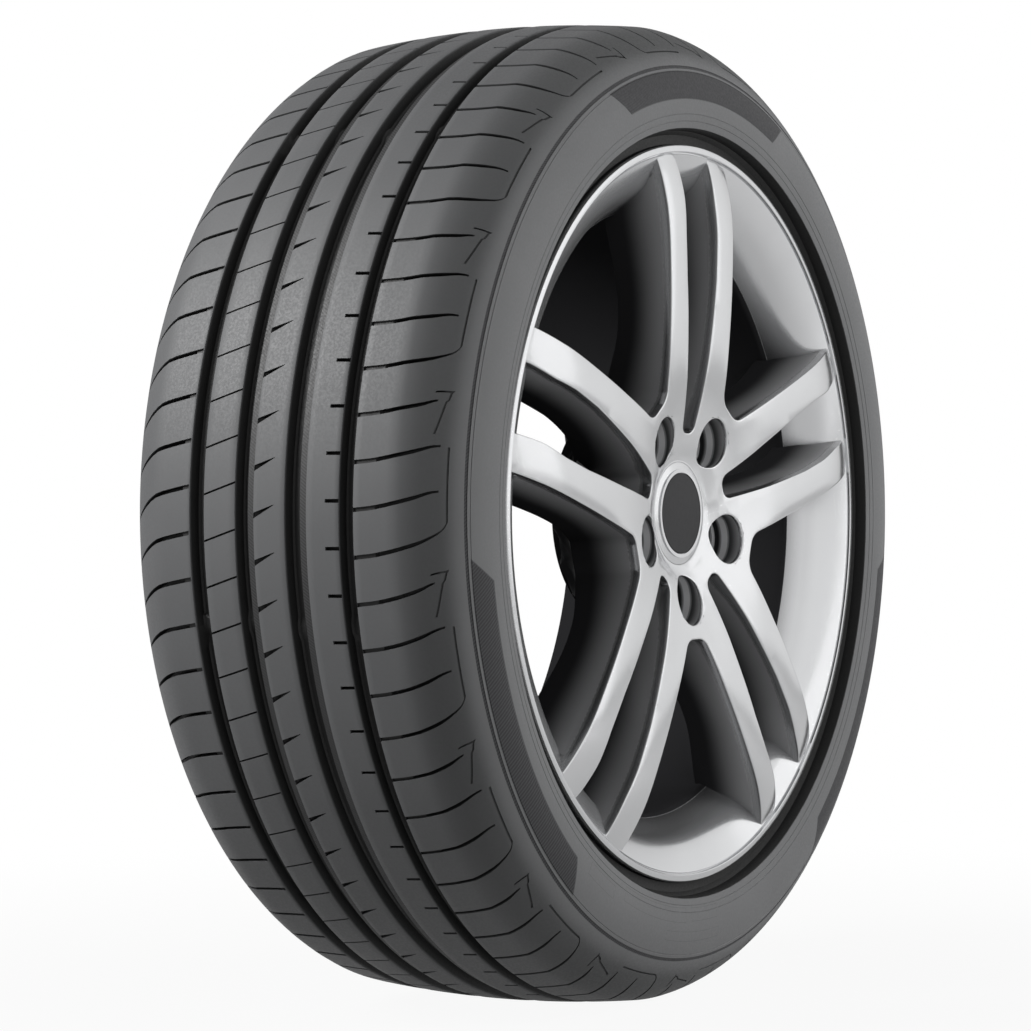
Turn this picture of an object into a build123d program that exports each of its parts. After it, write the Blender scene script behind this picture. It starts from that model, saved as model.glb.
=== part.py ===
from build123d import *
import math
import os

# A low-profile car tyre mounted on a cast alloy wheel, in millimetres.
# The wheel axis is Y, the outer face looks along -Y and Z is up. The origin is the wheel centre.
# Sections are drawn as (radius, axial place) and turned about the Y axis.

# Rim, an 8 inch wide J flange rim for a 17 inch tyre
seat_diameter = 436.6
rim_width = 203.2
flange_height = 17.5
flange_thickness = 11.4
flange_curve = 9.5
seat_width = 22.0
seat_taper = 5.0
well_depth = 18.5
well_width = 46.0
well_slope_run = 10.0
rear_slope_run = 22.0
rear_seat_step = 4.8
rim_wall = 6.0
lip_width = 5.8
bowl_depth = 34.5
bowl_shoulder = 2.4

# Wheel disc and spokes
wheel_offset = 45.0
hub_length = 59.6
pad_radius = 74.0
hub_face_radius = 38.0
hub_slope_radius = 62.0
hub_slope_rise = 6.6
crown_radius = 168.0
crown_height = 7.0
spoke_rise_radius = 110.0
spoke_rise = 3.4
spoke_fall_radius = 204.0
spoke_fall = 2.6
lip_bevel = 1.5
spoke_back_radius = 104.0
spoke_back_place = 74.0
spoke_waist_radius = 150.0
spoke_waist_depth = 34.0
spoke_root_place = 79.0
spoke_count = 5
pair_half_hub = 39.0
pair_half_rim = 45.6
gap_half_hub = 7.4
gap_half_mid = 20.6
gap_mid_radius = 160.0
gap_half_rim = 21.6
gap_floor_radius = 51.5
gap_floor_place = 71.0
gap_corner = 7.0
window_floor_radius = 81.0
window_corner = 13.0
spoke_edge = 1.0

# Hub bore, bolt holes and cap seat
bore_diameter = 57.1
bore_length = 30.0
bore_lead = 1.5
bolt_circle = 112.0
bolt_count = 5
bolt_hole = 14.5
bolt_pocket = 32.0
bolt_seat_thickness = 12.8
bolt_seat_width = 24.0
bolt_seat_angle = 60.0
cap_seat_diameter = 66.4
cap_seat_depth = 5.5
cap_bore_diameter = 61.0
cap_ridge = 1.6
cap_ridge_place = 9.0
cap_ridge_width = 2.5

# Centre cap
cap_fit = 0.3
cap_face_thickness = 2.6
cap_bezel_diameter = 57.0
cap_bezel_rise = 1.0
disc_diameter = 52.0
disc_thickness = 1.2
clip_count = 5
clip_width = 12.0
clip_thickness = 2.0
clip_hook = 1.3
clip_hook_length = 3.0

# Tyre
tyre_diameter = 634.3
tyre_width = 240.0
tread_width = 166.8
crown_drop = 4.85
widest_diameter = 524.0
protector_diameter = 492.0
protector_inset = 1.8
sidewall_bands = 3
bead_fit = 0.3
toe_clearance = 1.4
shoulder_thickness = 14.0
wall_thickness = 9.5
groove_depth = 8.0
groove_flank = 12.0
groove_places = (-52.9, -18.9, 17.0, 52.2)
groove_widths = (9.6, 14.4, 13.2, 10.8)
slot_count = 72
slot_width = 3.6
slot_inset = 15.4
slot_end_inset = 12.5
slot_end_rise = 34.0
slot_lean_outer = 15.0
slot_lean_inner = 20.0
slot_turn_outer = 0.87
slot_turn_inner = 3.45
slot_clearance = 20.0

# Tubeless valve, on the slope between the outer bead seat and the well
valve_turn = 17.2
valve_hole = 11.5
valve_wall = 4.0
valve_pocket = 20.0
valve_fit = 0.1
valve_head_diameter = 18.0
valve_head_length = 4.5
valve_collar_diameter = 15.0
valve_collar_length = 4.0
valve_rubber_length = 17.0
valve_tip_diameter = 9.2
sleeve_diameter = 7.7
sleeve_bore = 4.6
sleeve_reach = 9.0
core_diameter = 4.2
core_length = 17.0
core_inset = 1.5
valve_cap_diameter = 9.8
valve_cap_length = 9.5
valve_cap_wall = 1.3

# Places worked out from the sizes above
seat_radius = seat_diameter / 2
half_rim = rim_width / 2
flange_radius = seat_radius + flange_height
lip_place = half_rim + flange_thickness
flange_centre = half_rim + flange_curve
flange_centre_radius = flange_radius - flange_curve
lip_round = flange_thickness - flange_curve
seat_end = half_rim - seat_width
seat_end_radius = seat_radius - seat_width * math.tan(math.radians(seat_taper))
well_radius = seat_radius - well_depth
well_start = seat_end - well_slope_run
well_end = well_start - well_width
rear_start = well_end - rear_slope_run
rear_radius = seat_radius - rear_seat_step
bowl_place = lip_place - bowl_depth
bowl_knee_radius = seat_radius - rim_wall
bowl_knee_place = half_rim + bowl_shoulder
lip_inner_radius = flange_radius - lip_width
hub_face = wheel_offset + hub_length
crown_place = lip_place + crown_height
turn_step = 360 / spoke_count


def turned(edges):
    """Solid turned about the wheel axis from the edges of one closed section."""
    return revolve(make_face(edges), Axis.Y)


def around(tool, count, start=0.0):
    """Equal copies of a tool, set round the wheel axis."""
    return [Rot(0, start + 360 / count * k, 0) * tool for k in range(count)]


def flange_roll(curve):
    """Top and foot of the rolled flange at a distance from its centre, as (radius, place)."""
    return [(flange_centre_radius + curve, flange_centre), (flange_centre_radius, flange_centre - curve)]


def rim_edge(side):
    """Lip, rolled flange and bead seat of one rim edge, from the lip inwards; side is -1 or 1."""
    points = [(flange_radius - lip_round, lip_place)]
    points += flange_roll(flange_curve)
    points += [(seat_radius, half_rim), (seat_end_radius, seat_end)]
    return [(radius, side * place) for radius, place in points]


def barrel():
    """Rim barrel: two flanged edges, the drop-centre well and the open inside."""
    outer_edge = rim_edge(-1)
    inner_edge = rim_edge(1)
    well = [
        (well_radius, -well_start),
        (well_radius, -well_end),
        (rear_radius, -rear_start),
    ]
    inside = [
        (lip_inner_radius + lip_bevel, lip_place),
        (seat_radius - rim_wall, half_rim),
        (rear_radius - rim_wall, -rear_start),
        (well_radius - rim_wall, -well_end),
        (well_radius - rim_wall, -bowl_place),
        (bowl_knee_radius, -bowl_knee_place),
        (lip_inner_radius, -(lip_place - lip_bevel)),
        (lip_inner_radius + lip_bevel, -lip_place),
    ]
    return turned([Polyline(*outer_edge, *well, *reversed(inner_edge), *inside, close=True)])


def disc_blank():
    """Dished disc that the spokes are cut from; its rim side is sunk into the barrel's wall."""
    bore = bore_diameter / 2
    sunk = rim_wall / 2
    slope_end = (hub_slope_radius, -(hub_face + hub_slope_rise))
    crown = (crown_radius, -crown_place)
    front_end = (lip_inner_radius + sunk, -(lip_place - lip_bevel))
    outline = [
        (bore, -hub_face),
        (hub_face_radius, -hub_face),
        slope_end,
        (spoke_rise_radius, -(crown_place - spoke_rise)),
        crown,
        (spoke_fall_radius, -(crown_place - spoke_fall)),
        front_end,
        (bowl_knee_radius + sunk, -(half_rim + bowl_shoulder / 2)),
        (well_radius - sunk, -spoke_root_place),
        (spoke_waist_radius, -(crown_place - spoke_waist_depth)),
        (spoke_back_radius, -spoke_back_place),
        (pad_radius, -wheel_offset),
        (bore, -wheel_offset),
    ]
    return turned([Polyline(*outline, close=True)])


def front_plane():
    """Plane ahead of the spokes that looks into the wheel; its y axis is Z."""
    return Plane(origin=(0, -crown_place - spoke_edge, 0), x_dir=(-1, 0, 0), z_dir=(0, 1, 0))


def front_cut(corners, depth, corner_radius):
    """Prism cut in from the front, with its two hub corners rounded."""
    outline = make_face(Polyline(*corners, close=True))
    hub_corners = outline.vertices().sort_by(lambda corner: abs(corner.Y))[:2]
    return extrude(front_plane() * fillet(hub_corners, corner_radius), depth)


def pair_gap():
    """Teardrop between the two arms of a spoke pair, cut from the front, for the pair on +Z."""
    right = [
        (gap_half_hub, gap_floor_radius),
        (gap_half_mid, gap_mid_radius),
        (gap_half_rim, flange_radius),
    ]
    left = [(-x, z) for x, z in reversed(right)]
    depth = crown_place + spoke_edge - gap_floor_place
    return front_cut(right + left, depth, gap_corner)


def spoke_window():
    """Opening between two spoke pairs, cut right through, for the window on -Z."""
    half = math.radians(turn_step / 2)

    def beside_pair(along, across):
        """Point beside the axis of the pair to the right of the window."""
        x = along * math.sin(half) - across * math.cos(half)
        z = -along * math.cos(half) - across * math.sin(half)
        return (x, z)

    foot = beside_pair(window_floor_radius, pair_half_hub)
    top = beside_pair(flange_radius, pair_half_rim)
    slope = (top[0] - foot[0]) / (top[1] - foot[1])
    floor = (foot[0] - slope * (window_floor_radius + foot[1]), -window_floor_radius)
    corners = [floor, top, (-top[0], top[1]), (-floor[0], floor[1])]
    depth = crown_place + 2 * spoke_edge - wheel_offset
    return front_cut(corners, depth, window_corner)


def bolt_cut():
    """Bolt pocket, conical seat and through hole on the bolt circle, below the hub."""
    seat_place = wheel_offset + bolt_seat_thickness
    cone = (bolt_seat_width - bolt_hole) / 2 / math.tan(math.radians(bolt_seat_angle / 2))
    profile = Polyline(
        (0, 0),
        (bolt_hole / 2, 0),
        (bolt_hole / 2, seat_place),
        (bolt_seat_width / 2, seat_place + cone),
        (bolt_pocket / 2, seat_place + cone),
        (bolt_pocket / 2, crown_place),
        (0, crown_place),
        close=True,
    )
    tool = revolve(make_face(profile), Axis.Y)
    return Pos(0, 0, -bolt_circle / 2) * Rot(180, 0, 0) * tool


def hub_cut():
    """Stepped hole through the hub: bore, cap bore with its snap ridge, and the cap's seat."""
    bore = bore_diameter / 2
    cap_bore = cap_bore_diameter / 2
    ridge = hub_face - cap_seat_depth - cap_ridge_place
    return turned([
        Polyline(
            (0, -wheel_offset + bore_lead),
            (bore + 2 * bore_lead, -wheel_offset + bore_lead),
            (bore, -wheel_offset - bore_lead),
            (bore, -wheel_offset - bore_length),
            (cap_bore, -wheel_offset - bore_length - bore_lead),
            (cap_bore, -ridge),
            (cap_bore - cap_ridge, -ridge - cap_ridge_width / 2),
            (cap_bore, -ridge - cap_ridge_width),
            (cap_bore, -hub_face + cap_seat_depth),
            (cap_seat_diameter / 2, -hub_face + cap_seat_depth),
            (cap_seat_diameter / 2, -hub_face - bore_lead),
            (0, -hub_face - bore_lead),
            close=True,
        )
    ])


def valve_frame():
    """Frame of the valve: origin on the tyre side of its wall, z out through the rim."""
    radius = (seat_end_radius + well_radius) / 2
    place = -(seat_end + well_start) / 2
    slope = Vector(well_radius - seat_end_radius, well_slope_run, 0)
    across = Vector(-slope.Y, slope.X, 0).normalized()
    angle = math.radians(90 - valve_turn)
    outwards = Vector(math.cos(angle), 0, math.sin(angle))
    origin = outwards * radius + Vector(0, place, 0)
    axis = outwards * across.X + Vector(0, across.Y, 0)
    side = Vector(-math.sin(angle), 0, math.cos(angle))
    return Plane(origin=origin, x_dir=side, z_dir=axis)


def valve_piece(points):
    """Valve piece turned about the valve axis from (radius, height) points."""
    section = make_face(Plane.XZ * Polyline(*points, close=True))
    return valve_frame().location * revolve(section, Axis.Z)


def alloy_wheel():
    """One casting: barrel, disc with five spoke pairs, hub and all its holes."""
    disc = disc_blank()
    disc = disc - around(pair_gap(), spoke_count)
    disc = disc - around(spoke_window(), spoke_count)
    wheel = barrel() + disc
    wheel = wheel - around(bolt_cut(), bolt_count)
    wheel = wheel - hub_cut()
    hole = valve_piece([(0, -seat_width), (valve_hole / 2, -seat_width), (valve_hole / 2, seat_width),
                        (0, seat_width)])
    pocket = valve_piece([(0, valve_wall), (valve_pocket / 2, valve_wall), (valve_pocket / 2, seat_width),
                          (0, seat_width)])
    return wheel - hole - pocket


def centre_cap():
    """Cap with a raised bezel round the disc's recess and a crown of clip legs behind it."""
    rim = cap_seat_diameter / 2 - cap_fit
    seat = -(hub_face - cap_seat_depth) - cap_fit
    face = seat - cap_face_thickness
    bezel = cap_bezel_diameter / 2
    recess = disc_diameter / 2 + cap_fit
    floor = face - cap_bezel_rise + disc_thickness
    plate = turned([
        Polyline(
            (0, seat),
            (rim, seat),
            (rim, face + cap_bezel_rise),
            (bezel, face),
            (bezel, face - cap_bezel_rise),
            (recess, face - cap_bezel_rise),
            (recess, floor),
            (0, floor),
            close=True,
        )
    ])
    ridge_back = -(hub_face - cap_seat_depth - cap_ridge_place)
    leg_outer = cap_bore_diameter / 2 - cap_ridge - cap_fit
    hook_start = ridge_back + cap_fit
    hook_end = hook_start + clip_hook_length
    crown = turned([
        Polyline(
            (leg_outer - clip_thickness, seat),
            (leg_outer, seat),
            (leg_outer, hook_start),
            (leg_outer + clip_hook, hook_start + cap_fit),
            (leg_outer, hook_end),
            (leg_outer - clip_thickness, hook_end),
            close=True,
        )
    ])
    leg_box = Pos(0, seat, leg_outer) * Box(clip_width, 4 * clip_hook_length + 2 * cap_ridge_place, leg_outer)
    legs = [crown & leg for leg in around(leg_box, clip_count)]
    return plate + legs


def centre_cap_disc():
    """Plain disc with a chamfered edge, bonded into the cap's recess."""
    face = -(hub_face - cap_seat_depth) - cap_fit - cap_face_thickness - cap_bezel_rise
    edge = disc_diameter / 2
    return turned([
        Polyline(
            (0, face),
            (edge - disc_thickness / 2, face),
            (edge, face + disc_thickness / 2),
            (edge, face + disc_thickness),
            (0, face + disc_thickness),
            close=True,
        )
    ])


def crown_radius_at(place):
    """Tread radius of the ungrooved crown at an axial place."""
    return tyre_diameter / 2 - crown_drop * (2 * place / tread_width) ** 2


def tyre_side(side):
    """Section of one half from the tread edge over sidewall and bead to the inner crown."""
    half_tread = tread_width / 2
    edge_radius = crown_radius_at(half_tread)
    widest_radius = widest_diameter / 2
    out = (tyre_width - tread_width) / 2
    rise = edge_radius - widest_radius
    curve = (out ** 2 + rise ** 2) / (2 * out)
    sweep = math.asin(rise / curve)
    points = []
    for k in range(sidewall_bands + 1):
        turn = sweep * (1 - k / sidewall_bands)
        points.append((widest_radius + curve * math.sin(turn), tyre_width / 2 - curve * (1 - math.cos(turn))))
    points.append((protector_diameter / 2, tyre_width / 2 - protector_inset))
    points += flange_roll(flange_curve + bead_fit)
    points += [
        (seat_radius + bead_fit, half_rim - bead_fit),
        (seat_end_radius + bead_fit, seat_end + toe_clearance),
        (widest_radius, tyre_width / 2 - wall_thickness),
        (edge_radius - shoulder_thickness, half_tread),
    ]
    return [(radius, side * place) for radius, place in points]


def groove_section(place, width):
    """Tapered section of one circumferential groove."""
    flank = math.tan(math.radians(groove_flank))
    top = tyre_diameter / 2 + 1
    floor = crown_radius_at(place) - groove_depth
    half_top = width / 2 + (top - crown_radius_at(place)) * flank
    half_floor = width / 2 - groove_depth * flank
    return make_face(Polyline(
        (floor, place - half_floor),
        (top, place - half_top),
        (top, place + half_top),
        (floor, place + half_floor),
        close=True,
    ))


def shoulder_slot(side, lean):
    """Leaning slot cutter over one shoulder: it starts at the tread and runs out on the sidewall."""
    start = tread_width / 2 - slot_inset
    start_radius = crown_radius_at(start) + bead_fit
    end = tyre_width / 2 - slot_end_inset
    end_radius = widest_diameter / 2 + slot_end_rise
    face = make_face(Polyline(
        (-start_radius, side * start),
        (-end_radius, side * end),
        (-end_radius - 2 * slot_clearance, side * (end + slot_end_inset / 2)),
        (-start_radius - slot_clearance, side * start),
        close=True,
    ))
    middle = side * (start + end) / 2
    cutter = Pos(0, -middle, 0) * extrude(face, slot_width / 2, both=True)
    return Pos(0, middle, 0) * (Rot(lean, 0, 0) * cutter)


def tyre():
    """Moulded casing with its four circumferential grooves and the slots over both shoulders."""
    crown_places = [-tread_width / 2]
    for place, width in zip(groove_places, groove_widths):
        crown_places += [place - width / 2, place + width / 2]
    crown_places.append(tread_width / 2)
    crown = [(crown_radius_at(place), place) for place in crown_places]
    outline = Polyline(*crown[1:-1], *tyre_side(1), *reversed(tyre_side(-1)), close=True)
    section = make_face(outline)
    for place, width in zip(groove_places, groove_widths):
        section = section - groove_section(place, width)
    outer = around(shoulder_slot(-1, -slot_lean_outer), slot_count, slot_turn_outer)
    inner = around(shoulder_slot(1, -slot_lean_inner), slot_count, slot_turn_inner)
    return revolve(section, Axis.Y) - outer - inner


def valve_stem():
    """Snap-in rubber body: head inside the tyre, neck in the hole, collar and tapered stem outside."""
    neck = valve_hole / 2 - valve_fit
    bore = sleeve_diameter / 2 + valve_fit
    collar = valve_wall + valve_fit
    return valve_piece([
        (bore, -valve_fit - valve_head_length),
        (valve_head_diameter / 2, -valve_fit),
        (neck, -valve_fit),
        (neck, collar),
        (valve_collar_diameter / 2, collar),
        (valve_tip_diameter / 2, collar + valve_collar_length),
        (valve_tip_diameter / 2, collar + valve_rubber_length),
        (bore, collar + valve_rubber_length),
    ])


def valve_sleeve():
    """Brass tube through the rubber, threaded where it stands out of it."""
    start = -valve_fit - valve_head_length
    end = valve_wall + valve_fit + valve_rubber_length + sleeve_reach
    outer, bore = sleeve_diameter / 2, sleeve_bore / 2
    return valve_piece([(bore, start), (outer, start), (outer, end), (bore, end)])


def valve_core():
    """Sealed valve core that screws into the sleeve's mouth."""
    end = valve_wall + valve_fit + valve_rubber_length + sleeve_reach - core_inset
    radius, pin = core_diameter / 2, core_diameter / 4
    start = end - core_length
    return valve_piece([
        (0, start),
        (pin, start),
        (radius, start + radius),
        (radius, end - radius),
        (pin, end - radius),
        (pin, end),
        (0, end),
    ])


def valve_cap():
    """Dust cap over the sleeve's thread."""
    start = valve_wall + 2 * valve_fit + valve_rubber_length
    end = start + valve_cap_length + valve_cap_wall
    outer, bore = valve_cap_diameter / 2, sleeve_diameter / 2 + valve_fit
    return valve_piece([
        (bore, start),
        (outer, start),
        (outer, end - valve_cap_wall),
        (outer - valve_cap_wall, end),
        (0, end),
        (0, end - valve_cap_wall),
        (bore, end - valve_cap_wall),
    ])


pieces = {
    "tyre": tyre,
    "alloy_wheel": alloy_wheel,
    "centre_cap": centre_cap,
    "centre_cap_disc": centre_cap_disc,
    "valve_stem": valve_stem,
    "valve_sleeve": valve_sleeve,
    "valve_core": valve_core,
    "valve_cap": valve_cap,
}

os.makedirs("parts", exist_ok=True)
for name, make in pieces.items():
    solid = make()
    export_step(solid, f"parts/{name}.step")
    print(name, round(solid.volume / 1000, 1), "cm3")
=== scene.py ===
# %% [markdown]
# # A low-profile car tyre on an alloy wheel
# The frame holds the part's solids at their true size. This lesson dresses them: the tyre and the
# wheel are modelled again with their fine forms, and every piece gets a finish.
# All the modelling below is done in millimetres, and each finished mesh is scaled to metres.

# %% Load the frame
from math import asin, atan, atan2, copysign, cos, degrees, hypot, pi, radians, sin, sqrt, tan
import bmesh
import bpy
from mathutils import Matrix, Vector


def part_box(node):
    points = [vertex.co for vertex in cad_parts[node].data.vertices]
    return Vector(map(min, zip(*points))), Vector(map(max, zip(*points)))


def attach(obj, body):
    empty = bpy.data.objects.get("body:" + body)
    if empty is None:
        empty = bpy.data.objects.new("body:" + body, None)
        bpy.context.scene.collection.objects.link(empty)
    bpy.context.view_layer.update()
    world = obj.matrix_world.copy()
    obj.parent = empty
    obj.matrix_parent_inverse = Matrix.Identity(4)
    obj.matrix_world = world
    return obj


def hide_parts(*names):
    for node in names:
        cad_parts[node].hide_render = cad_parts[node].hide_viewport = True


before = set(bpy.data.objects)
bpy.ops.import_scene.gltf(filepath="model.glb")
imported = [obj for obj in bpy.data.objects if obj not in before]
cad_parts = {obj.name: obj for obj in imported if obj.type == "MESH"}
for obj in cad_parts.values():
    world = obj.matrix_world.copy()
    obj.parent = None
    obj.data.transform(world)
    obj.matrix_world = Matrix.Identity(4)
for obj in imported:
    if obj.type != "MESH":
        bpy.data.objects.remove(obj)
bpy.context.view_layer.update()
MM = 0.001
tyre_low, tyre_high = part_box("tyre")

# %% [markdown]
# ## Helpers
# A piece is modelled in a bmesh and handed over at the end: doubles merged, faces turned outwards,
# scaled to metres and shaded smooth, with the hard edges kept. Its object stays at the origin.
# Equal forms round the wheel are modelled once and turned about its axle, which is the Y axis.
# The shader trees are written in code, with a small class that adds nodes and feeds their sockets.

# %% Hand a mesh over
weld_reach = 0.004
seam_reach = 0.002
join_reach = 0.02
axle = {"cent": (0, 0, 0), "axis": (0, 1, 0)}
scene = bpy.context.scene


def to_mesh(bm, name):
    """Mesh of a bmesh, which is freed."""
    mesh = bpy.data.meshes.new(name)
    bm.to_mesh(mesh)
    bm.free()
    return mesh


def new_object(name, data):
    """Object at the origin of the scene."""
    thing = bpy.data.objects.new(name, data)
    scene.collection.objects.link(thing)
    return thing


def finish_piece(bm, name, material, replaced, sharp=32.0):
    """Make the bmesh an object that rides on the part, with smooth shading between its hard edges."""
    bmesh.ops.remove_doubles(bm, verts=bm.verts, dist=weld_reach)
    bmesh.ops.recalc_face_normals(bm, faces=bm.faces)
    bmesh.ops.scale(bm, vec=(MM, MM, MM), verts=bm.verts)
    mesh = to_mesh(bm, name)
    mesh.polygons.foreach_set("use_smooth", [True] * len(mesh.polygons))
    mesh.set_sharp_from_angle(angle=radians(sharp))
    mesh.materials.append(material)
    piece = new_object(name, mesh)
    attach(piece, "root")
    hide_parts(*replaced)
    mesh.calc_loop_triangles()
    print(name, len(mesh.loop_triangles), "triangles")


# %% Work on a mesh
def all_of(bm):
    """Every point, edge and face of a bmesh."""
    return bm.verts[:] + bm.edges[:] + bm.faces[:]


def faces_of(geom):
    """Faces among the geometry that an operator made."""
    return [part for part in geom if isinstance(part, bmesh.types.BMFace)]


def points_of(faces):
    """Points of some faces, each once."""
    return {vert for face in faces for vert in face.verts}


def pushed(bm, faces):
    """Extrude faces and delete the old ones; gives the new ones, still in place."""
    made = bmesh.ops.extrude_face_region(bm, geom=faces)["geom"]
    bmesh.ops.delete(bm, geom=faces, context="FACES")
    return faces_of(made)


def from_axle(vert):
    """Distance of a point from the axle."""
    return hypot(vert.co.x, vert.co.z)


def set_radius(vert, radius):
    """Move a point to a distance from the axle."""
    scale = radius / from_axle(vert)
    vert.co.x, vert.co.z = vert.co.x * scale, vert.co.z * scale


def turn_copies(bm, count):
    """Complete a ring of equal copies about the axle."""
    bmesh.ops.spin(bm, geom=all_of(bm), **axle, angle=2 * pi * (count - 1) / count, steps=count - 1,
                   use_merge=False, use_duplicate=True)


def smooth_step(value, start, end):
    """0 before start, 1 after end, and a soft ramp between them."""
    share = min(1.0, max(0.0, (value - start) / (end - start)))
    return share * share * (3 - 2 * share)


# %% Node helpers
class Graph:
    """Short way to add nodes to a tree and link them."""

    def __init__(self, tree):
        self.tree = tree

    def add(self, kind, **settings):
        """New node of a kind with its settings."""
        node = self.tree.nodes.new("ShaderNode" + kind)
        for name, value in settings.items():
            setattr(node, name, value)
        return node

    def feed(self, socket, value):
        """Link a socket, or set its plain value."""
        if isinstance(value, bpy.types.NodeSocket):
            self.tree.links.new(value, socket)
        else:
            socket.default_value = value

    def maths(self, operation, *values):
        """Output of a Math node."""
        node = self.add("Math", operation=operation)
        for socket, value in zip(node.inputs, values):
            self.feed(socket, value)
        return node.outputs[0]

    def ramp(self, value, start, end, low=0.0, high=1.0):
        """Soft step of a value from low at start to high at end."""
        node = self.add("MapRange", interpolation_type="SMOOTHSTEP")
        settings = {"Value": value, "From Min": start, "From Max": end, "To Min": low, "To Max": high}
        for name, setting in settings.items():
            self.feed(node.inputs[name], setting)
        return node.outputs[0]

    def blend(self, share, first, second):
        """Colour between two colours."""
        node = self.add("Mix", data_type="RGBA")
        self.feed(node.inputs["Factor"], share)
        for name, colour in (("A", first), ("B", second)):
            linked = isinstance(colour, bpy.types.NodeSocket)
            self.feed(node.inputs[name], colour if linked else (*colour, 1))
        return node.outputs["Result"]

    def group(self, tree, **values):
        """Placed node group with its inputs fed."""
        node = self.add("Group", node_tree=tree)
        for name, value in values.items():
            self.feed(node.inputs[name.replace("_", " ")], value)
        return node.outputs


def new_group(name, inputs, outputs):
    """Empty shader node group with value sockets; gives its graph, input sockets and output node."""
    tree = bpy.data.node_groups.new(name, "ShaderNodeTree")
    for in_out, titles in (("INPUT", inputs), ("OUTPUT", outputs)):
        for title in titles:
            tree.interface.new_socket(title, in_out=in_out, socket_type="NodeSocketFloat")
    source = tree.nodes.new("NodeGroupInput").outputs
    target = tree.nodes.new("NodeGroupOutput").inputs
    return Graph(tree), source, target


# %% [markdown]
# ## Camera
# The camera stands level with the axle, turned well round towards the tread, with a long lens. Its place and
# its lens come from a fit to the outlines of the tyre and the rim.

# %% Camera
view_azimuth = radians(-59.695)
view_elevation = radians(0.358)
view_roll = radians(-0.291)
view_distance = 2.3371
image_size = 1031
focal_pixels = 3555.24
offset_right = 27.667
offset_down = -1.962

camera_data = bpy.data.cameras.new("camera")
camera_data.sensor_width = 36.0
camera_data.lens = focal_pixels / image_size * camera_data.sensor_width
camera_data.shift_x = -offset_right / image_size
camera_data.shift_y = offset_down / image_size
camera = new_object("camera", camera_data)
backwards = Vector((
    sin(view_azimuth) * cos(view_elevation),
    -cos(view_azimuth) * cos(view_elevation),
    sin(view_elevation),
))
level = (-backwards).to_track_quat("-Z", "Y").to_matrix()
camera.matrix_world = Matrix.Translation(backwards * view_distance) @ (
    level @ Matrix.Rotation(view_roll, 3, "Z")).to_4x4()
scene.camera = camera
print("lens", round(camera_data.lens, 1), "mm")

# %% [markdown]
# ## Light and stage
# A lamp behind lights the tread, one ahead the wheel's face, a weak one fills the spokes' walls, and a faint
# card is there for the paint to mirror. The surroundings are white to the camera, but darker behind
# the wheel in reflections. The floor keeps the part's shadow.


# %% Light
def soft_lamp(name, place, target, size, watts, mirrored=True):
    """Square area lamp that looks at a point, and shows in reflections or not."""
    data = bpy.data.lights.new(name, "AREA")
    data.shape = "SQUARE"
    data.size = size
    data.energy = watts
    lamp = new_object(name, data)
    lamp.location = place
    lamp.visible_glossy = mirrored
    lamp.rotation_euler = (Vector(target) - Vector(place)).to_track_quat("-Z", "Y").to_euler()


face_centre = (0, -0.1, 0)
soft_lamp("key_lamp", (-1.6, 1.25, 1.25), (0, 0, 0.05), 1.2, 93)
soft_lamp("face_lamp", (1.2, -2.4, 0.6), face_centre, 1.4, 84, mirrored=False)
soft_lamp("card_lamp", (1.55, -2.15, 0.5), face_centre, 1.5, 2.4)
soft_lamp("side_lamp", (-1.5, -1.9, 0.5), face_centre, 1.2, 13, mirrored=False)
scene.view_settings.view_transform = "Standard"


# %% White surroundings
room_level = 0.075
bright_side = (0.2, -0.97, 0.1)
dark_level = 0.4
dark_to_bright = (-0.1, 0.75)
floor_level = 0.5


def seen_white(graph, in_gloss):
    """1 for rays from the camera and through clear things, and in_gloss for reflections."""
    path = graph.add("LightPath").outputs
    straight = graph.maths("MAXIMUM", path["Is Camera Ray"], path["Is Transmission Ray"])
    return graph.maths("MAXIMUM", straight, graph.maths("MULTIPLY", path["Is Glossy Ray"], in_gloss))


world = bpy.data.worlds.new("white_room")
scene.world = world
world.use_nodes = True
world.node_tree.nodes.clear()
room = Graph(world.node_tree)
to_front = room.add("VectorMath", operation="DOT_PRODUCT")
room.feed(to_front.inputs[0], room.add("TexCoord").outputs["Generated"])
room.feed(to_front.inputs[1], bright_side)
in_gloss = room.ramp(to_front.outputs["Value"], *dark_to_bright, dark_level, 1.0)
backdrop = room.add("Background")
room.feed(backdrop.inputs["Color"], (1, 1, 1, 1))
room.feed(backdrop.inputs["Strength"], room.maths("MAXIMUM", seen_white(room, in_gloss), room_level))
room.feed(room.add("OutputWorld").inputs["Surface"], backdrop.outputs[0])

# %% Floor
floor_reach = 6.0
floor_grey = (0.3, 0.3, 0.3, 1)
near_to_far = (0.2, 1.1)
near_white = 0.93
floor_bm = bmesh.new()
bmesh.ops.create_grid(floor_bm, x_segments=2, y_segments=2, size=floor_reach)
floor = new_object("floor", to_mesh(floor_bm, "floor"))
floor.location.z = tyre_low.z
floor_paint = bpy.data.materials.new("floor_white")
floor_paint.use_nodes = True
floor_paint.node_tree.nodes.clear()
ground = Graph(floor_paint.node_tree)
away = ground.add("VectorMath", operation="LENGTH")
ground.feed(away.inputs[0], ground.add("TexCoord").outputs["Object"])
fade = ground.ramp(away.outputs["Value"], *near_to_far, near_white, 1.0)
matte = ground.add("BsdfDiffuse")
ground.feed(matte.inputs["Color"], floor_grey)
glow = ground.add("Emission")
ground.feed(glow.inputs["Color"], (1, 1, 1, 1))
floor_mix = ground.add("MixShader")
ground.feed(floor_mix.inputs[0], ground.maths("MULTIPLY", seen_white(ground, floor_level), fade))
ground.feed(floor_mix.inputs[1], matte.outputs[0])
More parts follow.
